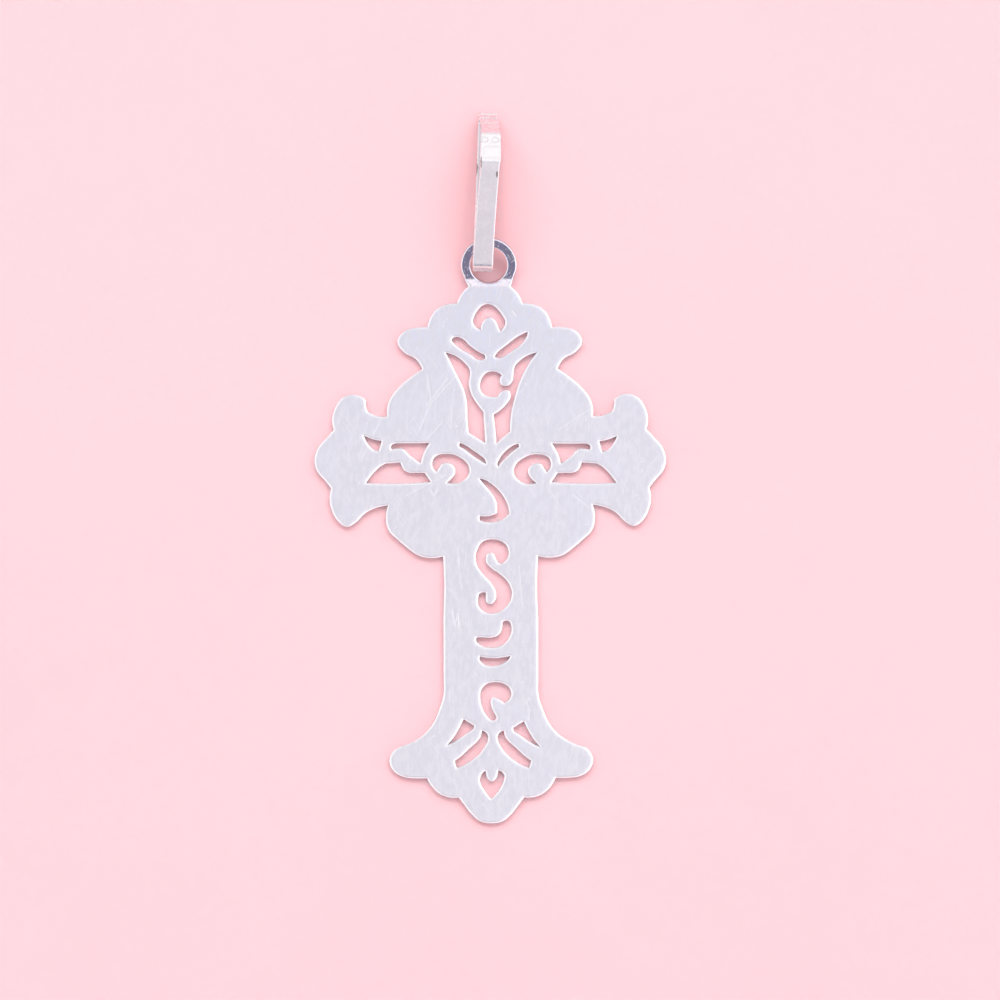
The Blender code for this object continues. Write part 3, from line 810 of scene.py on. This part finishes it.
def read_strap(node: str, pivot: np.ndarray) -> StrapShape:
    """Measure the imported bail.

    Args:
        node: The bail's node.
        pivot: A point on the axis that it swings on, in millimetres.

    Returns:
        Its side view as a closed loop of (y, z), and the numbers that place its width along it.
    """
    work = welded(node)
    middle_x = sum(vertex.co.x for vertex in work.verts) / len(work.verts)
    edges: dict[str, list[bmesh.types.BMEdge]] = {"left": [], "right": []}
    for edge in work.edges:
        sideways = sorted(abs(face.normal.x) for face in edge.link_faces)
        if sideways[0] < STEEP and sideways[-1] > LEANING:
            right = (edge.verts[0].co.x + edge.verts[1].co.x) / 2 > middle_x
            edges["right" if right else "left"].append(edge)
    rims, inner = {}, {}
    for side, found in edges.items():
        loops = sorted(edge_loops(found), key=lambda loop: abs(enclosed_area(loop[:, 1:])))
        inner[side], rims[side] = loops[0], loops[-1]
    work.free()

    angles = []
    for loop in rims.values():
        run = np.roll(loop, -1, axis=0) - loop
        longest = run[np.argmax(np.where(np.abs(loop[:, 2]) < 2 * SAME_LEVEL, np.abs(run[:, 1]), 0))]
        angles.append(math.atan2(longest[0] * np.sign(longest[1]), abs(longest[1])))
    lean = float(np.mean(angles))
    turn = np.array(Matrix.Rotation(lean, 3, "Z"))
    left, right = ((rims[side] - pivot) @ turn.T for side in ("left", "right"))
    from_side = np.array([0, 1, 1])
    partner = right[nearest_of(right * from_side, left * from_side), 0]
    width = partner - left[:, 0]
    centre = (partner + left[:, 0]) / 2
    low, high = float(left[:, 1].min()), float(left[:, 1].max())
    floor = float(left[:, 2].min())
    share = (left[:, 1] - low) / (high - low)
    slope, toe = np.polyfit(share, width, 1)
    height = left[:, 2] - floor
    fit = np.linalg.lstsq(np.stack([np.ones(len(share)), share * height], axis=1), centre, rcond=None)[0]
    side_view = left[:, 1:] if enclosed_area(left[:, 1:]) > 0 else left[::-1, 1:]
    rim = rims["left"][:, 1:]
    ends = np.roll(rim, -1, axis=0)
    gaps = [distance_to_segments(point[None], rim, ends) for point in inner["left"][:, 1:]]
    thickness = float(np.median(np.min(gaps, axis=1)))
    return StrapShape(
        side_view=side_view,
        thickness=thickness,
        pivot=pivot,
        lean=lean,
        middle=float(fit[0]),
        toe_width=float(toe),
        top_width=float(toe + slope),
        skew=float(fit[1]),
        low=low,
        high=high,
        depth=floor,
    )


@dataclass(frozen=True)
class Facet:
    """A flat stretch of the strap's outside, from its lower end to its upper one, as (y, z) points."""

    start: np.ndarray
    end: np.ndarray

    @classmethod
    def between(cls, side_view: np.ndarray, low: float, high: float) -> "Facet":
        """The side view's longest flat whose outside leans towards the top by low to high degrees."""
        run = np.roll(side_view, -1, axis=0) - side_view
        lean = np.degrees(np.arctan2(run[:, 1], -run[:, 0]))
        fits = (lean > low) & (lean < high)
        at = int(np.argmax(np.where(fits, np.linalg.norm(run, axis=1), 0)))
        ends = sorted([side_view[at], side_view[(at + 1) % len(side_view)]], key=lambda p: p[0])
        return cls(ends[0], ends[1])

    @property
    def length(self) -> float:
        """Distance between its ends."""
        return float(np.linalg.norm(self.end - self.start))

    @property
    def outward(self) -> np.ndarray:
        """The direction out of the metal, as (y, z)."""
        return left_of(unit(self.end - self.start)[None])[0]

    def place(self, points: np.ndarray) -> tuple[np.ndarray, np.ndarray]:
        """How far along the facet each (y, z) point is, and how far below its face."""
        away = points - self.start
        return away @ unit(self.end - self.start), -(away @ self.outward)


@dataclass(frozen=True)
class FileMark:
    """A straight cut across a facet, by its ends' places along and across it."""

    start: Pair
    end: Pair
    depth: float = 0.05
    width: float = 0.11


SWEEP_INPUTS = (
    *("Section", "Row length", "Low end", "High end", "Width change"),
    *("Middle", "Skew", "Back", "Lean", "Pivot", "Metal"),
)


@dataclass
class StrapBail:
    """The bail: a strap swept round its side view, then marked by the tools that made it."""

    node: str = "bail"
    body: str = "bail"
    row: float = 0.055  # sections along the strap
    section_step: float = 0.06
    edge: float = 0.12
    edge_steps: int = 4
    fine: float = 0.02
    first_ease: float = 0.1
    last_ease: float = 0.16
    stamped: Pair = (15, 35)  # the facets' leans, in degrees
    top: Pair = (40, 70)
    flare: float = 0.1
    flare_start: Pair = (-0.06, 0.06)
    flare_fade: float = 0.25
    near: float = 1.3  # how deep the flare reaches, in strap thicknesses
    flare_inside: float = 0.3  # share of the flare left on the strap's inner side
    unevenness: float = 0.007
    lump_scales: Pair = (0.9, 4.0)
    fine_share: float = 0.06
    lump_seed: int = 7
    oval: Pair = (0.24, 0.27)
    oval_rim: Pair = (0.85, 0.22)  # its place and width, in shares of the oval
    oval_floor: float = 0.45
    ovals: tuple[Pair, ...] = ((2.12, -0.53), (2.12, 0.28))
    cartouche: Pair = (0.92, 0.05)
    cartouche_size: Pair = (0.58, 0.64)
    cartouche_corner: float = 0.2
    cartouche_line: float = 0.06
    cartouche_share: float = 0.5  # of the punch depth
    punch_depth: float = 0.03
    punch_skin: float = 0.12
    file_skin: float = 0.15
    files: tuple[FileMark, ...] = (
        FileMark((2.85, -0.9), (2.75, 0.9)),
        FileMark((2.3, -0.9), (2.25, 0.9)),
        FileMark((1.45, -0.9), (1.55, 0.9)),
        FileMark((1.15, -0.8), (0.4, 0.8), 0.025),
    )
    shape: StrapShape = field(init=False)

    def __post_init__(self) -> None:
        """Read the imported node, on the joint that it swings on."""
        joint = next(j for j in frame["joints"] if j["child"] == self.body)
        self.shape = read_strap(self.node, np.array(joint["pos_m"]) / MM)

    def path(self) -> np.ndarray:
        """The strap's middle line in its side view, its bends eased so that the inside stays open."""
        outside = eased_loop(self.shape.side_view, self.fine, self.first_ease)
        ahead = unit(np.roll(outside, -1, axis=0) - np.roll(outside, 1, axis=0))
        middle = outside + left_of(ahead) * self.shape.thickness / 2
        return eased_loop(middle, self.fine, self.last_ease)

    def section(self) -> np.ndarray:
        """The strap's cross-section at the toe: a rectangle with rounded corners, in even steps."""
        half = np.array([self.shape.toe_width, self.shape.thickness]) / 2 - self.edge
        points = []
        for quarter, sign in enumerate(((1, 1), (-1, 1), (-1, -1), (1, -1))):
            for step in range(self.edge_steps + 1):
                turn = math.pi / 2 * (quarter + step / self.edge_steps)
                points.append(half * sign + self.edge * np.array([math.cos(turn), math.sin(turn)]))
        return stepped(np.array(points + points[:1]), self.section_step)

    def closed_curve(self, name: str, points: np.ndarray) -> bpy.types.Object:
        """A curve object with one closed line through points in millimetres."""
        curve = bpy.data.curves.new(name, "CURVE")
        curve.dimensions = "3D"
        spline = curve.splines.new("POLY")
        spline.points.add(len(points) - 1)
        for point, co in zip(spline.points, points * MM):
            point.co = (*co, 1.0)
        spline.use_cyclic_u = True
        return put(name, curve)

    def sweep_tree(self) -> bpy.types.NodeTree:
        """The node tree that sweeps the section round the path and gives the strap its taper and skew."""
        tree = bpy.data.node_groups.new("strap_sweep", "GeometryNodeTree")
        tree.interface.new_socket("Path", in_out="INPUT", socket_type="NodeSocketGeometry")
        tree.interface.new_socket("Strap", in_out="OUTPUT", socket_type="NodeSocketGeometry")
        kinds = {"Section": "Object", "Pivot": "Vector", "Metal": "Material"}
        for name in SWEEP_INPUTS:
            kind = f"NodeSocket{kinds.get(name, 'Float')}"
            tree.interface.new_socket(name, in_out="INPUT", socket_type=kind)
        nodes = Nodes(tree)
        given = nodes.add("NodeGroupInput")
        section = nodes.add("GeometryNodeObjectInfo", {"Object": given["Section"]})["Geometry"]
        spaced = {"Curve": given["Path"], "Length": given["Row length"]}
        rows = nodes.add("GeometryNodeResampleCurve", spaced, mode="LENGTH")[0]
        upright = {"Curve": rows, "Normal": (1.0, 0.0, 0.0)}
        turned = nodes.add("GeometryNodeSetCurveNormal", upright, mode="FREE")[0]
        swept = nodes.add("GeometryNodeCurveToMesh", {"Curve": turned, "Profile Curve": section})[0]
        x, y, z = nodes.parts(nodes.add("GeometryNodeInputPosition")[0])
        ends = {"Value": y, "From Min": given["Low end"], "From Max": given["High end"]}
        share = nodes.add("ShaderNodeMapRange", ends)[0]
        widen = nodes.math("MULTIPLY_ADD", share, given["Width change"], 1.0)
        across = nodes.math("MULTIPLY_ADD", x, widen, given["Middle"])
        height = nodes.math("SUBTRACT", z, given["Back"])
        twist = nodes.math("MULTIPLY", nodes.math("MULTIPLY", share, given["Skew"]), height)
        moved = nodes.add("ShaderNodeCombineXYZ", {0: nodes.math("ADD", across, twist), 1: y, 2: z})[0]
        shaped = nodes.add("GeometryNodeSetPosition", {"Geometry": swept, "Position": moved})[0]
        angle = nodes.add("ShaderNodeCombineXYZ", {2: nodes.math("MULTIPLY", given["Lean"], -1.0)})[0]
        seat = {"Geometry": shaped, "Translation": given["Pivot"], "Rotation": angle}
        placed = nodes.add("GeometryNodeTransform", seat)[0]
        smooth = nodes.add("GeometryNodeSetShadeSmooth", {"Geometry": placed})[0]
        real = nodes.add("GeometryNodeRealizeInstances", {"Geometry": smooth})[0]
        dressed = nodes.add("GeometryNodeSetMaterial", {"Geometry": real, "Material": given["Metal"]})[0]
        nodes.add("NodeGroupOutput", {"Strap": dressed})
        return tree

    def sweep(self, finish: bpy.types.Material) -> bpy.types.Object:
        """The plain strap, as a mesh at the origin."""
        shape = self.shape
        line = self.path()
        path = self.closed_curve("bail_path", np.column_stack([np.zeros(len(line)), line]))
        flat = self.section()
        section = self.closed_curve("strap_section", np.column_stack([flat, np.zeros(len(flat))]))
        tree = self.sweep_tree()
        modifier = path.modifiers.new("strap", "NODES")
        values = {
            "Section": section,
            "Row length": self.row * MM,
            "Low end": shape.low * MM,
            "High end": shape.high * MM,
            "Width change": shape.top_width / shape.toe_width - 1,
            "Middle": shape.middle * MM,
            "Skew": shape.skew,
            "Back": shape.depth * MM,
            "Lean": shape.lean,
            "Pivot": tuple(float(value) for value in shape.pivot * MM),
            "Metal": finish,
        }
        modifier.node_group = tree
        for socket in tree.interface.items_tree:
            if socket.in_out == "INPUT" and socket.name in values:
                modifier[socket.identifier] = values[socket.name]
        bpy.context.view_layer.update()
        evaluated = path.evaluated_get(bpy.context.evaluated_depsgraph_get())
        mesh = bpy.data.meshes.new_from_object(evaluated)
        mesh.name = "strap_bail"
        piece = put("strap_bail", mesh)
        for guide in (path, section):
            bpy.data.objects.remove(guide)
        work = bmesh.new()
        work.from_mesh(mesh)
        bmesh.ops.recalc_face_normals(work, faces=work.faces)
        work.to_mesh(mesh)
        work.free()
        return piece

    def stamps(self, along: np.ndarray, across: np.ndarray) -> np.ndarray:
        """Depth of the plain oval and oblong punch marks at each place on the stamped facet."""
        place = np.stack([along, across], axis=1)
        depth = np.zeros(len(place))
        rim, width = self.oval_rim
        for middle in self.ovals:
            reach = np.linalg.norm((place - middle) / self.oval, axis=1)
            ring = np.exp(-(((reach - rim) / width) ** 2))
            depth += self.punch_depth * np.maximum(ring, self.oval_floor * (reach < rim))
        box = np.abs(place - self.cartouche) - self.cartouche_size + self.cartouche_corner
        outside = np.linalg.norm(np.maximum(box, 0), axis=1)
        edge = outside + np.minimum(box.max(axis=1), 0) - self.cartouche_corner
        line = np.exp(-((edge / self.cartouche_line) ** 2))
        return depth + self.cartouche_share * self.punch_depth * line

    def work_surface(self, mesh: bpy.types.Mesh) -> None:
        """Flare the stamped facet, sink its punch marks and the file cuts, and wear the strap uneven."""
        shape = self.shape
        turn = np.array(Matrix.Rotation(shape.lean, 3, "Z"))
        flat = np.zeros(len(mesh.vertices) * 3, np.float32)
        mesh.vertices.foreach_get("co", flat)
        points = (flat.reshape(-1, 3) / MM - shape.pivot) @ turn.T
        share = (points[:, 1] - shape.low) / (shape.high - shape.low)
        across = points[:, 0] - shape.middle - shape.skew * share * (points[:, 2] - shape.depth)

        stamped = Facet.between(shape.side_view, *self.stamped)
        along, below = stamped.place(points[:, 1:])
        past = along - stamped.length
        on_facet = soft_step(along, *self.flare_start) * (1 - soft_step(past, 0, self.flare_fade))
        through = 1 - (1 - self.flare_inside) * np.clip(below / shape.thickness, 0, 1)
        near = below < shape.thickness * self.near
        points[:, 0] += across * self.flare * 2 * on_facet * through * near

        skin = np.clip(1 - below / self.punch_skin, 0, 1)
        sink = self.stamps(along, across) * skin * ((along > 0) & (past < 0))
        points[:, 1:] -= sink[:, None] * stamped.outward

        top = Facet.between(shape.side_view, *self.top)
        along, below = top.place(points[:, 1:])
        skin = np.clip(1 - below / self.file_skin, 0, 1)
        place = np.stack([along, across], axis=1)
        for mark in self.files:
            away = distance_to_segments(place, np.array([mark.start]), np.array([mark.end]))
            sink = mark.depth * np.exp(-((away / mark.width) ** 2)) * skin
            points[:, 1:] -= sink[:, None] * top.outward

        noise.seed_set(self.lump_seed)
        lumps, fine = (
            np.array([noise.noise_vector(Vector(p) * scale) for p in points]) for scale in self.lump_scales
        )
        points += lumps * self.unevenness + fine * self.unevenness * self.fine_share
        points = np.clip(points @ turn + shape.pivot, *box_mm(self.node))
        mesh.vertices.foreach_set("co", (points * MM).astype(np.float32).ravel())
        mesh.update()

    def stains(self) -> list[Tarnish]:
        """Where tarnish stays: beside the stamped facet and along the strap's edge."""
        (left, _, _), (right, _, top) = box_mm(self.node)
        crease_y = self.shape.pivot[1] + Facet.between(self.shape.side_view, *self.stamped).start[0]
        return [
            Tarnish((left + 0.35, crease_y - 0.4, 0.6), (0.17, 0.75, 0.7), 0.75),
            Tarnish((right - 0.33, crease_y - 1.2, top - 0.35), (0.09, 0.32, 0.5), 0.8),
            Tarnish((left + 0.8, crease_y - 0.1, top - 0.1), (0.07, 0.5, 0.6), 0.6),
        ]

    def build(self, finish: WornSilver) -> bpy.types.Object:
        """Make the strap's mesh and dress it.

        Args:
            finish: The metal's finish.

        Returns:
            The piece, which rides on the bail.
        """
        toe_end = box_mm(self.node)[0][1]
        piece = self.sweep(finish.build(self.stains(), toe_end))
        self.work_surface(piece.data)
        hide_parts(self.node)
        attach(piece, self.body)
        log_size(piece)
        return piece


# ---------------- the studio


@dataclass(frozen=True)
class Glow:
    """A soft round patch of the room, tilted from overhead towards the bail, or the foot if minus."""

    colour: Triple
    tilt: float
    core: float
    reach: float

    def over(self, sky: Socket, nodes: Nodes, way: Socket) -> Socket:
        """The sky with this patch in it."""
        toward = (0.0, math.sin(self.tilt), math.cos(self.tilt))
        facing = nodes.vector_math("DOT_PRODUCT", way, toward)["Value"]
        share = nodes.ramp(facing, math.cos(self.reach), math.cos(self.core))
        return nodes.mixed(share, sky, (*self.colour, 1.0))


@dataclass
class Studio:
    """Pink paper, a soft light from beyond the bail, a pale room and a camera overhead."""

    paper_size: float = 3.0
    paper_colour: Colour = (0.73, 0.427, 0.45, 1.0)
    paper_lighter: float = 1.015
    paper_cloud: float = 0.03
    paper_tooth: float = 0.9
    paper_relief: Pair = (0.12, 0.03)
    paper_values: tuple[tuple[str, object], ...] = (
        ("Roughness", 0.9),
        ("Specular IOR Level", 0.1),
        ("Subsurface Weight", 0.8),
        ("Subsurface Radius", (1.0, 0.2, 0.2)),
        ("Subsurface Scale", 0.0006),
    )
    overhead: Colour = (0.80, 0.79, 0.865, 1.0)
    shoulder: Colour = (0.74, 0.72, 0.78, 1.0)
    arm_shoulder: Colour = (1.15, 1.13, 1.16, 1.0)
    arm_sides: Colour = (1.5, 1.46, 1.48, 1.0)
    near_end: Colour = (1.3, 1.14, 1.18, 1.0)
    far_end: Colour = (0.95, 0.87, 0.90, 1.0)
    glows: tuple[Glow, ...] = (
        Glow((1.27, 1.28, 1.28), math.radians(45), math.radians(9), math.radians(18)),
        Glow((1.2, 1.1, 1.16), math.radians(-18), math.radians(3), math.radians(9)),
        Glow((0.20, 0.18, 0.27), math.radians(-38), math.radians(8), math.radians(15)),
    )
    right_brighter: float = 0.12
    key_angle: float = math.radians(48)
    key_distance: float = 1.2
    key_size: Pair = (2.1, 0.62)
    key_power: float = 20.5
    camera_height: float = 0.375
    camera_place: Pair = (0.000865, -0.00288)
    camera_lens: float = 150.0
    camera_roll: float = math.radians(-0.2)

    def paper(self) -> None:
        """The sheet of paper under everything, on z 0."""
        made = Surface("pink_paper")
        made.shader.subsurface_method = "BURLEY"
        pale = tuple(min(1.0, value * self.paper_lighter) for value in self.paper_colour)
        cloud = made.ramp(made.noise(made.place, self.paper_cloud), 0.35, 0.65)
        colour = made.mixed(cloud, self.paper_colour, pale)
        tooth = made.noise(made.place, self.paper_tooth, 3.0)
        half = self.paper_size / 2 / MM
        corners = np.array([(-half, -half, 0), (half, -half, 0), (half, half, 0), (-half, half, 0)])
        sheet = mesh_piece("paper", corners, [(0, 1, 2, 3)])
        sheet.data.materials.append(made.dress(colour, dict(self.paper_values), tooth, *self.paper_relief))

    def room(self) -> None:
        """The pale room: bright beside the arms, with soft patches over the foot and beyond the bail."""
        world = bpy.data.worlds.new("pale_room")
        bpy.context.scene.world = world
        world.use_nodes = True
        nodes = Nodes(world.node_tree)
        way = nodes.add("ShaderNodeTexCoord")["Generated"]
        x, y, z = nodes.parts(way)
        squares = [nodes.math("POWER", value, 2.0) for value in (x, y)]
        flat = nodes.math("MAXIMUM", nodes.math("SQRT", nodes.math("ADD", *squares)), 0.001)
        sideways = nodes.ramp(nodes.math("DIVIDE", nodes.math("ABSOLUTE", x), flat), 0.25, 0.8)
        beyond = nodes.ramp(nodes.math("DIVIDE", y, flat), -0.3, 0.3)
        low = nodes.mixed(sideways, nodes.mixed(beyond, self.near_end, self.far_end), self.arm_sides)
        shoulder = nodes.mixed(sideways, self.shoulder, self.arm_shoulder)
        sky = nodes.mixed(nodes.ramp(z, 0.3, 0.55), low, shoulder)
        sky = nodes.mixed(nodes.ramp(z, 0.8, 0.96), sky, self.overhead)
        for glow in self.glows:
            sky = glow.over(sky, nodes, way)
        lean = nodes.ramp(x, -0.35, 0.35, 1 - self.right_brighter, 1 + self.right_brighter)
        nodes.feed(world.node_tree.nodes["Background"], {"Color": sky, "Strength": lean})

    def key_light(self) -> None:
        """The soft box beyond the bail's end."""
        light = bpy.data.lights.new("key", "AREA")
        light.shape = "RECTANGLE"
        light.size, light.size_y = self.key_size
        light.energy = self.key_power
        made = put("key", light)
        away = Vector((0.0, math.sin(self.key_angle), math.cos(self.key_angle)))
        made.location = away * self.key_distance
        made.rotation_euler = away.to_track_quat("Z", "Y").to_euler()
        made.visible_camera = False
        made.visible_glossy = False

    def camera(self) -> None:
        """The camera over the cross, looking straight down."""
        lens = bpy.data.cameras.new("overhead")
        lens.lens = self.camera_lens
        lens.sensor_width = 36.0
        lens.clip_start = 0.01
        made = put("overhead", lens)
        made.location = (*self.camera_place, self.camera_height)
        made.rotation_euler = (0.0, 0.0, self.camera_roll)
        bpy.context.scene.camera = made

    def build(self) -> None:
        """Set up the whole studio."""
        bpy.context.scene.view_settings.view_transform = "Standard"
        self.paper()
        self.room()
        self.key_light()
        self.camera()
        LOG.info("studio: paper, room, key light and camera")


def main() -> None:
    """Build the studio, the cross and the bail."""
    logging.basicConfig(level=logging.INFO, format="%(name)s: %(message)s")
    Studio().build()
    PiercedCross().build(SatinSilver())
    StrapBail().build(WornSilver())


if __name__ == "__main__":
    main()
